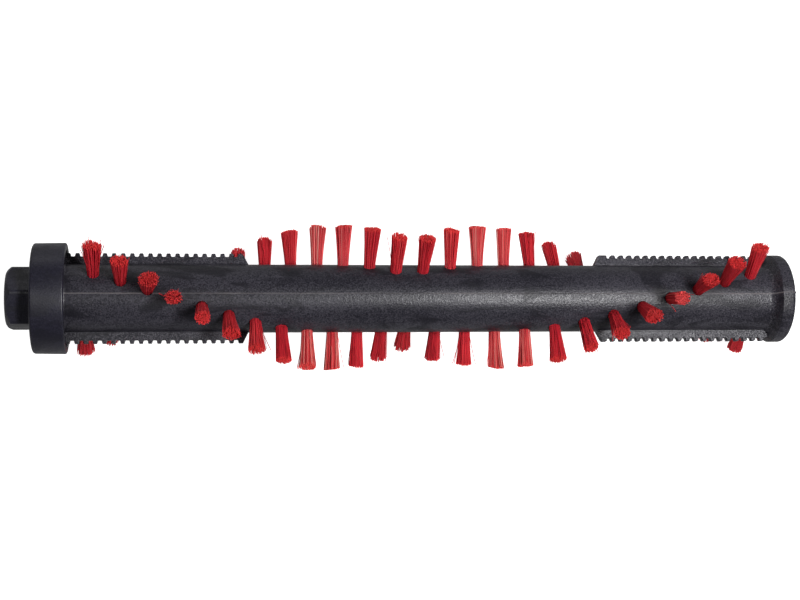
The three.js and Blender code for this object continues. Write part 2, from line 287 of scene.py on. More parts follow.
def tuft_place(node):
    """Where a tuft stands: its point on the spin axis, its outward direction and its reach."""
    points = [v.co for v in frame["nodes"][node].data.vertices]
    centre = sum(points, Vector()) / len(points)
    outward = Vector((0, centre.y, centre.z)).normalized()
    reach = max(p.dot(outward) for p in points)
    return Vector((centre.x, 0, 0)), outward, reach


# ---- core ----
def parting_lift(r, degrees):
    """The thin flash along the mould's parting line, and the small step between its halves."""
    off = abs(off_parting(degrees))
    flash = PARTING_FLASH * max(0, 1 - off / FLASH_HALF_WIDTH)
    lower = math.sin(math.radians(degrees - PARTING_ANGLE)) < -1e-6
    step = PARTING_STEP * min(1, off / STEP_WIDTH) if lower else 0
    outside = r > CORE_RADIUS * 0.99
    return flash + step if outside else 0


def core_profile():
    """(x, r) points: up the bore and the hub's pocket, round the drive end's rim and back along outside."""
    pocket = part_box("drive_hub")[0].x - GAP
    pocket_radius = HUB_RADIUS + GAP
    flare = math.degrees(math.atan2(RIM_RADIUS - CORE_RADIUS, RIM_FLARE))
    foot = RIM_FILLET * math.tan(math.radians(flare / 2))
    left_rim = CORE_LEFT + RIM_WIDTH
    right_rim = CORE_RIGHT - RIM_WIDTH
    left_fillet = left_rim + RIM_FLARE + foot
    right_fillet = right_rim - RIM_FLARE - foot
    step = (left_fillet - right_fillet) / PROFILE_STEPS
    rim_arc = RIM_RADIUS - RIM_ROUND
    inner_arc = RIM_RADIUS - RIM_INNER_ROUND
    fillet_arc = CORE_RADIUS + RIM_FILLET
    return [
        (SPIGOT_END, BORE_RADIUS),
        (pocket, BORE_RADIUS),
        (pocket, pocket_radius),
        (CORE_RIGHT - POCKET_CHAMFER, pocket_radius),
        (CORE_RIGHT, pocket_radius + POCKET_CHAMFER),
        *arc(CORE_RIGHT - RIM_ROUND, rim_arc, RIM_ROUND, 0, 90, 8),
        *arc(right_rim + RIM_INNER_ROUND, inner_arc, RIM_INNER_ROUND, 90, 90 + flare, 4),
        *arc(right_fillet, fillet_arc, RIM_FILLET, flare - 90, -90, 8),
        *((right_fillet + step * i, CORE_RADIUS) for i in range(1, PROFILE_STEPS)),
        *arc(left_fillet, fillet_arc, RIM_FILLET, -90, -90 - flare, 8),
        *arc(left_rim - RIM_INNER_ROUND, inner_arc, RIM_INNER_ROUND, 90 - flare, 90, 4),
        *arc(CORE_LEFT + RIM_ROUND, rim_arc, RIM_ROUND, 90, 180, 6),
        (CORE_LEFT, SPIGOT_RADIUS),
        (SPIGOT_END, SPIGOT_RADIUS),
    ]


def core_angles():
    """Even steps around, closer together at the two parting lines."""
    angles = [PARTING_ANGLE + half + near for half in (0, 180) for near in FLASH_ANGLES]
    angles += [even for even in even_angles(CORE_STEPS) if abs(off_parting(even)) > FLASH_CLEAR]
    return sorted(angle % 360 for angle in angles)


def rib_outline(first_tooth):
    """(x, r) points of a rib's side, its sloped end at the low x, with its teeth."""
    valley = RIB_TIP - TOOTH_HEIGHT
    first = RIB_INNER_END + RIB_SLOPE
    flank = (TOOTH_FOOT - TOOTH_TOP) / 2
    lead = RIB_SLOPE * (CORE_RADIUS - RIB_ROOT) / (RIB_TIP - CORE_RADIUS)
    points = [(RIB_INNER_END - lead, RIB_ROOT), (first, RIB_TIP)]
    points += [(first + first_tooth, RIB_TIP), (first + first_tooth + flank, valley)]
    centre = first + first_tooth + flank + TOOTH_PITCH - TOOTH_FOOT / 2
    for i in range(TOOTH_COUNT):
        middle = centre + i * TOOTH_PITCH
        if middle + TOOTH_FOOT / 2 > RIB_OUTER_END:
            break
        points += [(middle - TOOTH_FOOT / 2, valley), (middle - TOOTH_TOP / 2, RIB_TIP)]
        points += [(middle + TOOTH_TOP / 2, RIB_TIP), (middle + TOOTH_FOOT / 2, valley)]
    return points + [(RIB_OUTER_END, valley), (RIB_OUTER_END, RIB_ROOT)]


def rounded_outline(points, radius, steps=3):
    """An outline with each corner above the root replaced by a short curve."""
    out = []
    for i, p in enumerate(points):
        before = Vector(points[i - 1])
        here = Vector(p)
        after = Vector(points[(i + 1) % len(points)])
        reach = min(radius, (before - here).length * 0.45, (after - here).length * 0.45)
        if here.y < CORE_RADIUS:
            out.append(here)
            continue
        a = here + (before - here).normalized() * reach
        b = here + (after - here).normalized() * reach
        for k in range(steps + 1):
            t = k / steps
            out.append(a * (1 - t) ** 2 + here * 2 * t * (1 - t) + b * t**2)
    return out


def rib(side, degrees, first_tooth):
    """A toothed rib that is thinner at its tip, as the mould's draft leaves it."""
    up = spoke(degrees)
    across = Vector((1, 0, 0)).cross(up)
    profile = rounded_outline(rib_outline(first_tooth), TOOTH_ROUND)
    outline = [Vector((CORE_MIDDLE + side * p.x, 0, 0)) + up * p.y for p in profile]
    bm = pushed(outline, across, 1)
    for vert in bm.verts:
        share = (vert.co.dot(up) - CORE_RADIUS) / (RIB_TIP - CORE_RADIUS)
        thickness = RIB_ROOT_THICKNESS + share * (RIB_TIP_THICKNESS - RIB_ROOT_THICKNESS)
        vert.co += across * vert.co.dot(across) * (thickness - 1)
    bm.normal_update()
    sides = [f for f in bm.faces if abs(f.normal.dot(across)) > 0.99]
    edges = {e for f in sides for e in f.edges}

    def is_outer(edge):
        return edge in edges and min(v.co.dot(up) for v in edge.verts) > CORE_RADIUS

    return bevelled(bm, MOULDED_ROUND, 2, is_outer)


def hub_blocks(left, right, low, high, width):
    """A block for each of the hub's keys, from left to right along X and from low to high off the axis."""
    blocks = []
    for i in range(HUB_KEYS):
        up = spoke(360 / HUB_KEYS * i)
        corners = ((left, low), (right, low), (right, high), (left, high))
        outline = [Vector((x, 0, 0)) + up * r for x, r in corners]
        blocks.append(pushed(outline, Vector((1, 0, 0)).cross(up), width))
    return blocks


def hub_keyways():
    """The slots for the hub's keys, a gap larger all round."""
    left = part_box("drive_hub")[1].x - HUB_KEY_LENGTH - GAP
    right = CORE_RIGHT + CUT_PAST
    return hub_blocks(left, right, HUB_KEY_ROOT, HUB_KEY_TIP + GAP, HUB_KEY_WIDTH + 2 * GAP)


def flash_nub():
    nub = bmesh.new()
    bmesh.ops.create_uvsphere(nub, u_segments=12, v_segments=8, radius=NUB_RADIUS)
    place = spoke(PARTING_ANGLE) * (RIM_RADIUS - NUB_IN_FROM_RIM)
    place += Vector((CORE_RIGHT - NUB_IN_FROM_END, 0, 0))
    bmesh.ops.translate(nub, verts=nub.verts, vec=place)
    return nub


def tuft_holes():
    holes = []
    for node in TUFTS:
        foot, outward, _ = tuft_place(node)
        holes.append(rod(foot + outward * HOLE_BOTTOM, outward, HOLE_RADIUS, HOLE_CUT, 24))
    return holes


def true_normals(mesh):
    """Gives the plain cylinder's faces its exact normals, and each rib's flat sides theirs, so that the
    cuts and teeth in them don't show as shading."""
    normals = []
    rib_sides = [Vector((1, 0, 0)).cross(spoke(rib[1])) for rib in RIBS]
    for polygon in mesh.polygons:
        centre = polygon.center
        beyond = math.hypot(centre.y, centre.z) > CORE_RADIUS
        flat = beyond and any(abs(polygon.normal.dot(side)) > 0.98 for side in rib_sides)
        for index in polygon.vertices:
            p = mesh.vertices[index].co
            out = Vector((0, p.y, p.z)).normalized()
            near = abs(math.hypot(p.y, p.z) - CORE_RADIUS) < 0.12 * MM
            off = off_parting(math.degrees(math.atan2(p.y, p.z)))
            plain = near and polygon.normal.dot(out) > 0.985 and abs(off) > FLASH_EDGE
            normals.append(polygon.normal if flat else out if plain else Vector())
    mesh.normals_split_custom_set(normals)


def core():
    made = new_object("core_moulding", turned(core_profile(), core_angles(), parting_lift))
    boolean(made, "UNION", joined([rib(*one) for one in RIBS]))
    boolean(made, "UNION", flash_nub())
    boolean(made, "DIFFERENCE", joined(tuft_holes()))
    boolean(made, "DIFFERENCE", joined(hub_keyways()))
    smooth(made.data)
    true_normals(made.data)
    return made


# ---- end cap ----
HEX_FLATS = 19.3 * MM
HEX_VERTEX = 11.7  # angle of one vertex
HEX_EDGE_ROUND = 0.8 * MM
# the turned chamfer on the boss's end, in mm: back from the end, and out from the flats' circle
BOSS_CHAMFER = ((1.5, 0.7), (0.75, 0.05), (0.3, -0.55), (0.08, -1.0), (0, -1.5))
CHAMFER_LENGTH = 3.2 * MM
BOSS_SUNK = 0.6 * MM  # into the cap
CAP_BACK = -125.4 * MM
CAP_BACK_RADIUS = 18.35 * MM
CAP_BACK_ROUND = 1 * MM
CAP_MOUTH = CAP_HIGH.x
CAP_MOUTH_RADIUS = 18.5 * MM
CAP_MOUTH_ROUND = 0.6 * MM
CAP_MOUTH_CHAMFER = 0.3 * MM
CAP_FACE = 1.5 * MM  # thickness of the boss's end wall
RIM_CLEARANCE = 0.75 * MM
# the turned body inside the boss
STUB_RADIUS = 9 * MM
STUB_STEP = 3 * MM
STUB_END_RADIUS = 8.6 * MM
STUB_END_IN = 0.8 * MM


def hexagonal_boss():
    """The boss with rounded long edges, and its end turned to a cone as on a bolt's head."""
    end = CAP_LOW.x
    right = CAP_BACK + BOSS_SUNK
    radius = HEX_FLATS / math.sqrt(3)
    middle = Vector(((end + right) / 2, 0, 0))
    outline = [spoke(HEX_VERTEX + 60 * i) * radius + middle for i in range(6)]
    prism = pushed(outline, Vector((1, 0, 0)), right - end)

    def is_long(edge):
        return abs(edge.verts[0].co.x - edge.verts[1].co.x) > 1 * MM

    made = new_object("boss", bevelled(prism, HEX_EDGE_ROUND, 5, is_long))
    beyond = radius + CUT_PAST
    cone = [
        (end, 0),
        (right + CUT_PAST, 0),
        (right + CUT_PAST, beyond),
        (end + CHAMFER_LENGTH, beyond),
        *((end + back * MM, HEX_FLATS / 2 + out * MM) for back, out in BOSS_CHAMFER),
        (end, 0),
    ]
    boolean(made, "INTERSECT", turned(cone, even_angles(96)))
    bm = bmesh.new()
    bm.from_mesh(made.data)
    mesh = made.data
    bpy.data.objects.remove(made)
    bpy.data.meshes.remove(mesh)
    return bm


def end_cap():
    mouth = RIM_RADIUS + RIM_CLEARANCE
    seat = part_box("bearing_outer_ring")[1].y + GAP
    floor = CORE_LEFT - GAP
    bottom = CAP_LOW.x + CAP_FACE
    stub_end = CAP_LOW.x + STUB_END_IN
    stub_step = CAP_BACK - STUB_STEP
    profile = [
        (bottom, 0),
        (bottom, seat),
        (floor, seat),
        (floor, mouth),
        (CAP_MOUTH - CAP_MOUTH_CHAMFER, mouth),
        (CAP_MOUTH, mouth + CAP_MOUTH_CHAMFER),
        *arc(CAP_MOUTH - CAP_MOUTH_ROUND, CAP_MOUTH_RADIUS - CAP_MOUTH_ROUND, CAP_MOUTH_ROUND, 0, 90, 5),
        *arc(CAP_BACK + CAP_BACK_ROUND, CAP_BACK_RADIUS - CAP_BACK_ROUND, CAP_BACK_ROUND, 90, 180, 8),
        (CAP_BACK, STUB_RADIUS),
        (stub_step, STUB_RADIUS),
        (stub_step, STUB_END_RADIUS),
        (stub_end, STUB_END_RADIUS),
        (stub_end, 0),
    ]
    made = new_object("end_cap_moulding", turned(profile, even_angles(160)))
    boolean(made, "UNION", hexagonal_boss())
    past = floor + CUT_PAST
    hollow = [(bottom, 0), (past, 0), (past, seat), (bottom, seat), (bottom, 0)]
    boolean(made, "DIFFERENCE", turned(hollow, even_angles(160)))
    smooth(made.data)
    return made


# ---- drive hub ----
def drive_hub():
    low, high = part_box("drive_hub")
    left, right = low.x, high.x
    front, back = 0.3 * MM, 0.5 * MM  # chamfers
    body = [
        (left, 0),
        (right, 0),
        (right, HUB_RADIUS - front),
        (right - front, HUB_RADIUS),
        (left + back, HUB_RADIUS),
        (left, HUB_RADIUS - back),
        (left, 0),
    ]
    made = new_object("drive_hub_moulding", turned(body, even_angles(96)))
    keys = hub_blocks(right - HUB_KEY_LENGTH, right, HUB_KEY_ROOT, HUB_KEY_TIP, HUB_KEY_WIDTH)
    boolean(made, "UNION", joined([bevelled(key, MOULDED_ROUND, 2, lambda edge: True) for key in keys]))
    radius = SOCKET_FLATS / math.sqrt(3)
    length = SOCKET_DEPTH + CUT_PAST
    middle = Vector((right - SOCKET_DEPTH + length / 2, 0, 0))
    socket = [spoke(60 * i) * radius + middle for i in range(6)]
    boolean(made, "DIFFERENCE", pushed(socket, Vector((1, 0, 0)), length))
    lead_start, lead_end = right - LEAD_IN_DEPTH, right + LEAD_IN_PAST
    narrow, wide = LEAD_IN_RADII
    lead_in = [
        (lead_start, 0),
        (lead_end, 0),
        (lead_end, wide),
        (lead_start, narrow),
        (lead_start, 0),
    ]
    boolean(made, "DIFFERENCE", turned(lead_in, even_angles(96)))
    smooth(made.data)
    return made


# ---- bristle tufts ----
FILAMENTS = 250
FILAMENT_RADIUS = 0.113 * MM
FILAMENT_RINGS = 6
FILAMENT_SIDES = 5
TUFT_START = CORE_RADIUS - 1.2 * MM
TUFT_ROOT = 1.98 * MM
TUFT_TIP = 2.85 * MM
TRIM_OFF_CENTRE = 0.45 * MM  # the bristles were trimmed around an axis this far towards +Y
TIP_SLACK = 0.1 * MM
CROWN = 0.3 * MM  # how much shorter the outermost filaments are
RAGGED = (0.15, 0.25, 0.35, 0.5)  # how unevenly a tuft's tip is worn, in mm
STRAYS = (0.01, 0.02, 0.04, 0.07)  # the share of a tuft's filaments that stick out
CLUMPS = 7
LEANING = {"tuft_b_07": 1.5, "tuft_b_08": 1.4}  # tufts pressed over across the roll, by mm at the tip
# tufts given a paler tone as painted light, where they catch more of the lamps
PAINTED_LIT_TUFTS = (
    "tuft_a_09",
    "tuft_a_10",
    "tuft_a_16",
    "tuft_a_17",
    "tuft_b_10",
    "tuft_b_16",
    "tuft_b_17",
)
# a filament's tone runs from 0, dark, to 1, pale
MIDDLE_TONE = 0.45
SHADE, MOTTLE = (-0.12, 0.08), 0.11
# tone and mottle of those tufts: painted light that makes them paler
PAINTED_LIGHT_TONE, PAINTED_LIGHT_MOTTLE = 0.26, 0.12
# how much darker the stray filaments are: painted shade, as if they stood in shadow
STRAY_PAINTED_SHADE = 0.15
GOLDEN = math.pi * (3 - math.sqrt(5))


def filament(bm, layers, path, radius, tone):
    """One thin rod along a path, with its own tone and how far along it each face is."""
    tone_layer, along_layer = layers
    rings = []
    for i, p in enumerate(path):
        ahead = path[min(i + 1, len(path) - 1)] - path[max(i - 1, 0)]
        side = ahead.orthogonal().normalized()
        other = ahead.normalized().cross(side)
        ring = []
        for k in range(FILAMENT_SIDES):
            angle = 2 * math.pi * k / FILAMENT_SIDES
            vert = bm.verts.new(p + (side * math.cos(angle) + other * math.sin(angle)) * radius)
            vert[tone_layer] = tone
            vert[along_layer] = i / (len(path) - 1)
            ring.append(vert)
        rings.append(ring)
    for a, b in zip(rings, rings[1:]):
        for k in range(FILAMENT_SIDES):
            j = (k + 1) % FILAMENT_SIDES
            bm.faces.new((a[k], a[j], b[j], b[k]))
    bm.faces.new(rings[0][::-1])
    bm.faces.new(rings[-1])


def spread_out(draw, along, across):
    """A flat vector with a normal spread of its own in each direction, in mm."""
    return Vector((draw.gauss(0, along), draw.gauss(0, across))) * MM


def worn_clumps(draw, ragged):
    """Where a tuft's clumps stand, how far each is pushed aside at the tip, and how much shorter it is."""
    clumps = []
    for _ in range(CLUMPS):
        turn, away = draw.uniform(0, 2 * math.pi), TUFT_ROOT * math.sqrt(draw.random())
        seat = Vector((math.cos(turn), math.sin(turn))) * away
        push = spread_out(draw, 0.07, 0.07)
        clumps.append((seat, push, abs(draw.gauss(0, 0.8)) * ragged))
    return clumps


def filament_path(foot, outward, root, far, bow, length):
    """Points from the hole to the tip. root, far and bow are flat vectors square to outward."""
    along = Vector((1, 0, 0))
    across = along.cross(outward)
    path = []
    for i in range(FILAMENT_RINGS):
        t = i / (FILAMENT_RINGS - 1)
        opened = max(0, (t - 0.08) / 0.92) ** 1.25
        flat = root.lerp(far, opened) + bow * math.sin(math.pi * t)
        height = TUFT_START + (length - TUFT_START) * t
        path.append(foot + outward * height + along * flat.x + across * flat.y)
    return path


def tuft(node, seed):
    """A bundle of filaments that spreads from its hole to its trimmed tip, worn into uneven clumps."""
    draw = random.Random(seed)
    foot, outward, reach = tuft_place(node)
    tip = reach - TIP_SLACK + TRIM_OFF_CENTRE * outward.y
    spread = TUFT_TIP / TUFT_ROOT * draw.uniform(0.9, 1.08)
    fan = Vector((draw.uniform(0.98, 1.16), draw.uniform(0.88, 1.04))) * spread
    lean = spread_out(draw, 0.35, 0.25) + Vector((0, LEANING.get(node, 0))) * MM
    cut = Vector((draw.gauss(0, 0.12), draw.gauss(0, 0.12)))  # slope of the trimmed tip
    ragged = draw.choice(RAGGED) * MM
    strays = draw.choice(STRAYS)
    shade, mottle = draw.uniform(*SHADE), MOTTLE
    # painted light: the listed tufts are made paler, as if lit more strongly
    if node in PAINTED_LIT_TUFTS:
        shade, mottle = PAINTED_LIGHT_TONE, PAINTED_LIGHT_MOTTLE
    clumps = worn_clumps(draw, ragged)
    bm = bmesh.new()
    layers = bm.verts.layers.float.new("tone"), bm.verts.layers.float.new("along")
    for k in range(FILAMENTS):
        share = math.sqrt((k + 0.5) / FILAMENTS)
        angle = k * GOLDEN + draw.uniform(-0.15, 0.15)
        root = Vector((math.cos(angle), math.sin(angle))) * share * (TUFT_ROOT - FILAMENT_RADIUS)
        _, push, short = min(clumps, key=lambda clump: (clump[0] - root).length)
        far = Vector((root.x * fan.x, root.y * fan.y)) * draw.uniform(0.9, 1.08) + lean + push
        tone = MIDDLE_TONE + shade + draw.gauss(0, mottle)
        # stray filaments get a darker tone: painted shade
        if draw.random() < strays:
            far += spread_out(draw, 1, 0.9)
            tone -= STRAY_PAINTED_SHADE
        bow = spread_out(draw, 0.06, 0.06)
        worn = abs(draw.gauss(0, 0.7)) * ragged + short
        length = min(tip + cut.dot(root) - worn - share**2 * CROWN, tip + TIP_SLACK)
        path = filament_path(foot, outward, root, far, bow, length)
        filament(bm, layers, path, FILAMENT_RADIUS * draw.uniform(0.85, 1.1), min(1, max(0, tone)))
    mesh = bpy.data.meshes.new(f"{node}_bristles")
    bm.to_mesh(mesh)
    bm.free()
    smooth(mesh, 60)
    return linked(f"{node}_bristles", mesh)


# ---- materials ----
# colour of the pale specks: painted glints in the grain's highlight
GLINT_PAINT_COLOUR = (0.085, 0.080, 0.091)
# colour along the parting line: a painted highlight
PARTING_HIGHLIGHT_COLOUR = (0.105, 0.097, 0.102)
GRAIN_BUMP, SWIRL_BUMP, FLOW_BUMP = 0.095, 0.07, 0.04  # mm
RIB_GRAIN = 1.7  # how much deeper the grain is on the ribs
GRAIN_START, GRAIN_END = 20, 110  # mm along X, between which the grain deepens
CAP_SIDE_GRAIN, DRIVE_SIDE_GRAIN = 0.45, 1.2
SMOOTH_HALF_GRAIN = 0.5
NYLON_TONES = (
    (0.0, (0.25, 0.014, 0.022)),
    (0.4, (0.44, 0.017, 0.026)),
    (0.7, (0.48, 0.036, 0.040)),
    (1.0, (0.56, 0.22, 0.19)),
)
NYLON_CUT = (0.74, 0.048, 0.042)
# colour of the roots: painted shade, where the tuft shades itself
NYLON_ROOT_SHADE = (0.24, 0.010, 0.020)
RUBBER_TONES = ((0.3, (0.012, 0.012, 0.012)), (0.7, (0.03, 0.03, 0.03)))


class Nodes:
    """Short calls to build a material's node tree around its Principled shader."""

    def __init__(self, name):
        self.material = bpy.data.materials.new(name)
        self.material.use_nodes = True
        self.tree = self.material.node_tree
        self.shader = self.tree.nodes["Principled BSDF"]

    def add(self, kind, **values):
        """A new node. Each value goes to the input of that name, or else to the node's own property."""
        node = self.tree.nodes.new(kind)
        for key, value in values.items():
            if key in node.inputs:
                node.inputs[key].default_value = value
            else:
                setattr(node, key, value)
        return node

    def link(self, out, to):
        self.tree.links.new(out, to)

    def place(self, scale=(1, 1, 1)):
        """Object coordinates in millimetres, stretched."""
        coords = self.add("ShaderNodeTexCoord").outputs["Object"]
        mapping = self.add("ShaderNodeMapping")
        mapping.inputs["Scale"].default_value = [s / MM for s in scale]
        self.link(coords, mapping.inputs["Vector"])
        return mapping.outputs["Vector"]

    def noise(self, vector, scale, detail=3, rough=0.5, distortion=0):
        """Noise from 0 to 1. Over place(), its scale is per millimetre."""
        settings = {"Scale": scale, "Detail": detail, "Roughness": rough, "Distortion": distortion}
        node = self.add("ShaderNodeTexNoise", **settings)
        self.link(vector, node.inputs["Vector"])
        return node.outputs["Fac"]

    def span(self, value, low, high, to_low, to_high):
        """The value carried from one range to another, and held at its ends."""
        node = self.add("ShaderNodeMapRange")
        for index, number in enumerate((low, high, to_low, to_high)):
            node.inputs[index + 1].default_value = number
        self.link(value, node.inputs["Value"])
        return node.outputs["Result"]

    def math(self, operation, a, b=0):
        node = self.add("ShaderNodeMath", operation=operation)
        for socket, value in zip(node.inputs, (a, b)):
            if isinstance(value, (int, float)):
                socket.default_value = value
            else:
                self.link(value, socket)
        return node.outputs["Value"]

    def along_x(self, vector):
        node = self.add("ShaderNodeSeparateXYZ")
        self.link(vector, node.inputs["Vector"])
        return node.outputs["X"]

    def length(self, vector):
        node = self.add("ShaderNodeVectorMath", operation="LENGTH")
        self.link(vector, node.inputs[0])
        return node.outputs["Value"]

    def dot(self, vector, direction):
        node = self.add("ShaderNodeVectorMath", operation="DOT_PRODUCT")
        self.link(vector, node.inputs[0])
        node.inputs[1].default_value = direction
        return node.outputs["Value"]

    def ramp(self, value, stops):
        """A colour from (position, colour) stops."""
        node = self.add("ShaderNodeValToRGB")
        elements = node.color_ramp.elements
        while len(elements) < len(stops):
            elements.new(0.5)
        for element, (at, colour) in zip(elements, stops):
            element.position = at
            element.color = (*colour, 1)
        self.link(value, node.inputs["Fac"])
        return node.outputs["Color"]

    def mix(self, factor, a, b):
        """A colour between a and b. A Mix node's colours are its inputs 6 and 7 and its output 2."""
        node = self.add("ShaderNodeMix", data_type="RGBA")
        for index, value in ((0, factor), (6, a), (7, b)):
            if isinstance(value, tuple):
                node.inputs[index].default_value = (*value, 1)
            elif isinstance(value, (int, float)):
                node.inputs[index].default_value = value
            else:
                self.link(value, node.inputs[index])
        return node.outputs[2]

    def bump(self, *layers):
        """Stacks (height, distance in mm) layers into the shader's normal."""
        last = None
        for height, distance in layers:
            node = self.add("ShaderNodeBump", Distance=distance * MM, Strength=1)
            self.link(height, node.inputs["Height"])
            if last:
                self.link(last, node.inputs["Normal"])
            last = node.outputs["Normal"]
        self.link(last, self.shader.inputs["Normal"])

    def finish(self, **values):
        """Sets or links the shader's inputs, with _ for a space, and gives back the material."""
        for key, value in values.items():
            socket = self.shader.inputs[key.replace("_", " ")]
            if isinstance(value, (int, float, tuple)):
                socket.default_value = (*value, 1) if isinstance(value, tuple) else value
            else:
                self.link(value, socket)
        return self.material


def mould_marks(n, place, fine, broad, speck, colour):
    """What only the long core shows of its mould. The fine grain is deeper on the ribs and towards the drive
    end, and there it is dotted with pale specks that are painted glints. The half above the parting line is
    smoother. The line itself carries a painted highlight."""
    raised = n.span(n.length(n.place((0, 1, 1))), CORE_RADIUS / MM + 0.2, CORE_RADIUS / MM + 0.5, 0, 1)
    along = n.along_x(place)
    from_middle = n.math("ABSOLUTE", n.math("SUBTRACT", along, CORE_MIDDLE / MM))
    rim_start = RIB_OUTER_END / MM
    on_ribs = n.math("MULTIPLY", raised, n.span(from_middle, rim_start - 1, rim_start, 1, 0))
    deeper = n.span(along, GRAIN_START, GRAIN_END, CAP_SIDE_GRAIN, DRIVE_SIDE_GRAIN)
    drive_side = n.span(deeper, CAP_SIDE_GRAIN, DRIVE_SIDE_GRAIN, 0, 0.12)
    # painted glints: pale specks on the ribs and towards the drive end stand in for sparkle in the highlight
    painted_glints = n.math("ADD", n.math("MULTIPLY", on_ribs, 0.4), drive_side)
    painted_glints = n.math("MULTIPLY", n.span(speck, 0.52, 0.62, 0, 1), painted_glints)
    colour = n.mix(painted_glints, colour, GLINT_PAINT_COLOUR)
    above_line = n.dot(place, spoke(PARTING_ANGLE + 90))
    depth = n.math("MULTIPLY", n.span(on_ribs, 0, 1, 1, RIB_GRAIN), deeper)
    depth = n.math("MULTIPLY", depth, n.span(above_line, -0.1, 0.1, 1, SMOOTH_HALF_GRAIN))
    off_line = n.math("ABSOLUTE", above_line)
    # painted highlight: a pale line along the parting line
    line = n.math("MULTIPLY", n.span(off_line, 0.1, 0.3, 1, 0), n.span(broad, 0.4, 0.6, 0.3, 1.0))
    return n.math("MULTIPLY", fine, depth), n.mix(line, colour, PARTING_HIGHLIGHT_COLOUR)


def moulded_plastic(name, dark, light, grain, gloss, rough_low, rough_high, marked=False):
    """Black moulded plastic with a fine eroded grain, faint flow marks, smudges and scuffs."""
    n = Nodes(name)
    place = n.place()
    fine = n.noise(place, 1.8, detail=1)
    swirl = n.noise(place, 0.5, detail=2, distortion=1.0)
    broad = n.noise(n.place((0.03, 0.11, 0.11)), 1)
    flow = n.noise(n.place((0.12, 1.4, 1.4)), 1, rough=0.6)
    speck = n.noise(place, 2.3, detail=2, rough=0.6)
    tone = n.math("ADD", n.math("MULTIPLY", speck, 0.75), n.math("MULTIPLY", broad, 0.25))
    colour = n.ramp(tone, ((0.41, dark), (0.59, light)))
    smudge = n.noise(n.place((0.04, 0.1, 0.1)), 1, detail=5, rough=0.55, distortion=1.5)
    smudge = n.span(smudge, 0.52, 0.6, 0, 1)
    colour = n.mix(n.math("MULTIPLY", smudge, 0.75), colour, tuple(0.8 * c for c in dark))
    scuff = n.noise(n.place((0.5, 2.2, 2.2)), 1.1, detail=5, rough=0.7)
    scuff = n.span(scuff, 0.62, 0.74, 0, 1)
    colour = n.mix(n.math("MULTIPLY", scuff, 0.35), colour, tuple(3.2 * c for c in light))
    mottle = n.math("ADD", n.math("MULTIPLY", fine, 0.7), n.math("MULTIPLY", swirl, 0.3))
    rough = n.span(mottle, 0.39, 0.61, rough_high, rough_low)
    rough = n.math("ADD", rough, n.math("MULTIPLY", smudge, 0.07))
    if marked:
        fine, colour = mould_marks(n, place, fine, broad, speck, colour)
    n.bump((fine, GRAIN_BUMP * grain), (swirl, SWIRL_BUMP * grain), (flow, FLOW_BUMP * grain))
    return n.finish(Base_Color=colour, Roughness=rough, Specular_IOR_Level=gloss)


def bristle_nylon():
    """Red nylon: each filament has its own tone, with a brighter cut tip and painted shade darkening its
    root.
    """
    n = Nodes("bristle_nylon")
    tone = n.add("ShaderNodeAttribute", attribute_name="tone").outputs["Fac"]
    along = n.add("ShaderNodeAttribute", attribute_name="along").outputs["Fac"]
    colour = n.ramp(tone, NYLON_TONES)
    tip = n.span(along, 0.95, 1.0, 0, 0.5)
    colour = n.mix(tip, colour, NYLON_CUT)
    # painted shade: the filaments darken towards the root, inside the tuft
    root = n.span(along, 0.08, 0.4, 0.4, 0)
    colour = n.mix(root, colour, NYLON_ROOT_SHADE)
    rough = n.span(tone, 0, 1, 0.5, 0.36)
    return n.finish(Base_Color=colour, Roughness=rough, Specular_IOR_Level=0.08)


def ground_steel(name, colour, rough_low, rough_high):
    """Steel with fine grinding lines around the spin axis."""
    n = Nodes(name)
    lines = n.noise(n.place((3.0, 0.4, 0.4)), 1, detail=4, rough=0.7)
    rough = n.span(lines, 0.3, 0.7, rough_low, rough_high)
    n.bump((lines, 0.01))
    shade = n.ramp(lines, ((0.3, tuple(0.85 * c for c in colour)), (0.7, colour)))
    return n.finish(Base_Color=shade, Roughness=rough, Metallic=1.0)


def seal_rubber():
    n = Nodes("seal_rubber")
    fine = n.noise(n.place(), 3, detail=4)
    n.bump((fine, 0.03))
    rough = n.span(fine, 0.3, 0.7, 0.65, 0.85)
    return n.finish(Base_Color=n.ramp(fine, RUBBER_TONES), Roughness=rough)


def paint(thing, material):
    thing.data.materials.clear()
    thing.data.materials.append(material)


def paint_node(node, material):
    for held in frame["nodes"][node].material_slots:
        held.material = material


# ---- the object ----
core_plastic = moulded_plastic(
    "core_plastic",
    dark=(0.0066, 0.0062, 0.0096),
    light=(0.0335, 0.0318, 0.0400),
    grain=1.0,
    gloss=0.20,
    rough_low=0.28,
    rough_high=0.45,
    marked=True,
)
cap_plastic = moulded_plastic(
    "cap_plastic",
    dark=(0.0063, 0.0060, 0.0112),
    light=(0.0136, 0.0129, 0.0214),
    grain=0.45,
    gloss=0.31,
    rough_low=0.33,
    rough_high=0.42,
)
hub_plastic = moulded_plastic(
    "hub_plastic",
    dark=(0.020, 0.020, 0.023),
    light=(0.040, 0.040, 0.043),
    grain=0.5,
    gloss=0.40,
    rough_low=0.35,
    rough_high=0.48,
)
nylon = bristle_nylon()
steel = ground_steel("ground_steel", (0.62, 0.62, 0.63), 0.18, 0.36)
dark_steel = ground_steel("spring_steel", (0.30, 0.29, 0.29), 0.28, 0.45)

for make, node, body, slot, material in (
    (core, "roller_core", "roll", "core_plastic", core_plastic),
    (end_cap, "end_cap", "cap_end", "cap_plastic", cap_plastic),
    (drive_hub, "drive_hub", "roll", "hub_plastic", hub_plastic),
):
    made = make()
    paint(made, material)
    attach(made, body)
    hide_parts(node)

for seed, node in enumerate(TUFTS):
    made = tuft(node, seed)
    paint(made, nylon)
    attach(made, "roll")
    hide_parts(node)

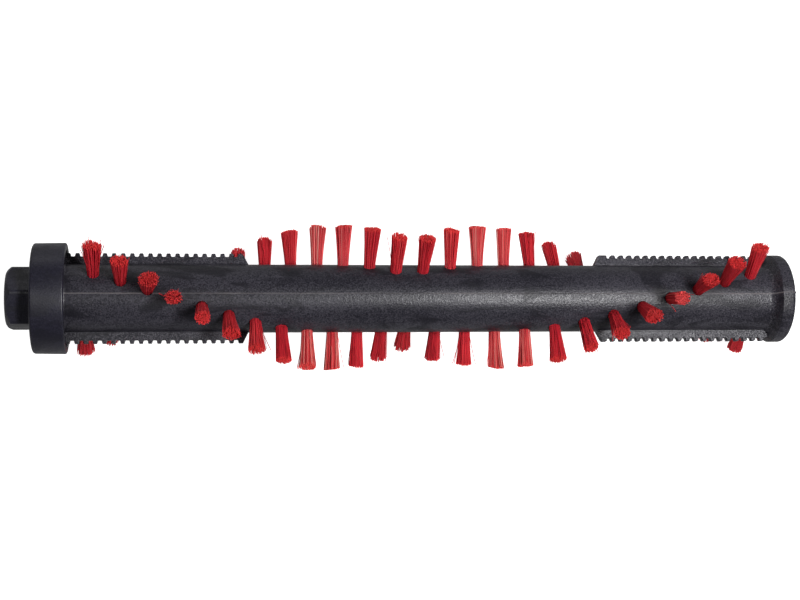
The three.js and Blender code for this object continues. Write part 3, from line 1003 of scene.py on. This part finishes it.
for node in ("axle", "bearing_inner_ring", "bearing_outer_ring", "ball_cage"):
    paint_node(node, steel)
paint_node("retaining_ring", dark_steel)
paint_node("dust_seal", seal_rubber())


# ---- studio: floor, lights, camera ----
PAPER_SHADES = ((0.3, (0.38, 0.38, 0.38)), (0.7, (0.42, 0.42, 0.42)))
PAPER_GLOW = 0.97
FLOOR_HALF = 3  # metres
COVE_START = 2.0
COVE_CENTRE = 2.2
COVE_RADIUS = 0.6
COVE_TOP = 3.0
COVE_DROP = 0.001  # keeps its rim under the floor

LIGHT_ABOVE = 0.10
LIGHT_BELOW = 0.36
# each softbox: its name, place, what it faces, width and height, and watts
SOFTBOXES = (
    ("front", (0.225, 0.0, 0.62), (0.035, 0, 0), (0.37, 0.12), 7.1),
    ("left", (-0.32, 0.0, 0.56), (-0.10, 0, 0), (0.26, 0.2), 0.75),
    ("rear", (-0.20, 0.50, 0.035), (-0.13, 0, 0), (0.3, 0.1), 0.18),
)

CAMERA_PLACE = (-0.07746, -0.0005, 0.5092)
CAMERA_TURN = 8.36  # degrees
CAMERA_LENS = 67.5
CAMERA_SENSOR = 36


def pale_floor():
    """White paper that glows enough to stay white. It is left out of reflections, so that the roll's
    edges stay dark against it."""
    bm = bmesh.new()
    bmesh.ops.create_grid(bm, x_segments=1, y_segments=1, size=FLOOR_HALF)
    floor = new_object("floor", bm)
    floor.location.z = CAD_BOX[0].z
    floor.visible_glossy = False
    n = Nodes("floor_paper")
    shade = n.ramp(n.noise(n.place(), 0.05, detail=4), PAPER_SHADES)
    white = (1.0, 1.0, 1.0)
    paper = n.finish(Base_Color=shade, Roughness=0.9, Emission_Color=white, Emission_Strength=PAPER_GLOW)
    paint(floor, paper)
    return paper


def backdrop(paper):
    """Paper that curves up all round, well away from the roll. It lights nothing."""
    cove = arc(COVE_CENTRE, COVE_RADIUS, COVE_RADIUS, -90, 0, 12)
    sweep = [(COVE_START, -COVE_DROP), *cove, (cove[-1][0], COVE_TOP)]
    bm = bmesh.new()
    rings = []
    for out, height in sweep:
        rings.append([bm.verts.new((out * spoke(d).y, out * spoke(d).z, height)) for d in even_angles(96)])
    for a, b in zip(rings, rings[1:]):
        for i in range(len(a)):
            j = (i + 1) % len(a)
            bm.faces.new((a[i], a[j], b[j], b[i]))
    made = new_object("backdrop", bm)
    made.location.z = CAD_BOX[0].z
    made.visible_glossy = False
    made.visible_diffuse = False
    made.visible_shadow = False
    paint(made, paper)


def softbox(name, place, target, size, power):
    data = bpy.data.lights.new(name, "AREA")
    data.shape = "RECTANGLE"
    data.size, data.size_y = size
    data.energy = power
    lamp = linked(name, data)
    lamp.location = place
    lamp.rotation_euler = (Vector(target) - Vector(place)).to_track_quat("-Z", "Y").to_euler()


def world():
    """Plain white light from all round, of one strength from above and another from below."""
    made = bpy.data.worlds.new("studio")
    made.use_nodes = True
    tree = made.node_tree
    height = tree.nodes.new("ShaderNodeSeparateXYZ")
    tree.links.new(tree.nodes.new("ShaderNodeTexCoord").outputs["Generated"], height.inputs["Vector"])
    strength = tree.nodes.new("ShaderNodeMapRange")
    horizon = {"From Min": -0.2, "From Max": 0.05, "To Min": LIGHT_BELOW, "To Max": LIGHT_ABOVE}
    for name, number in horizon.items():
        strength.inputs[name].default_value = number
    tree.links.new(height.outputs["Z"], strength.inputs["Value"])
    background = tree.nodes["Background"]
    background.inputs["Color"].default_value = (1, 1, 1, 1)
    tree.links.new(strength.outputs["Result"], background.inputs["Strength"])
    bpy.context.scene.world = made


def camera():
    """Looks down at the roll, turned a little so that the drive end is further away."""
    turn = math.radians(CAMERA_TURN)
    right = Vector((math.cos(turn), 0, math.sin(turn)))
    up = Vector((0, 1, 0))
    axes = Matrix((right, up, right.cross(up))).transposed().to_4x4()
    data = bpy.data.cameras.new("camera")
    data.sensor_width = CAMERA_SENSOR
    data.lens = CAMERA_LENS
    data.clip_start = 0.01
    made = linked("camera", data)
    made.matrix_world = Matrix.Translation(CAMERA_PLACE) @ axes
    bpy.context.scene.camera = made


backdrop(pale_floor())
world()
for light in SOFTBOXES:
    softbox(*light)
camera()
bpy.context.scene.view_settings.view_transform = "Standard"
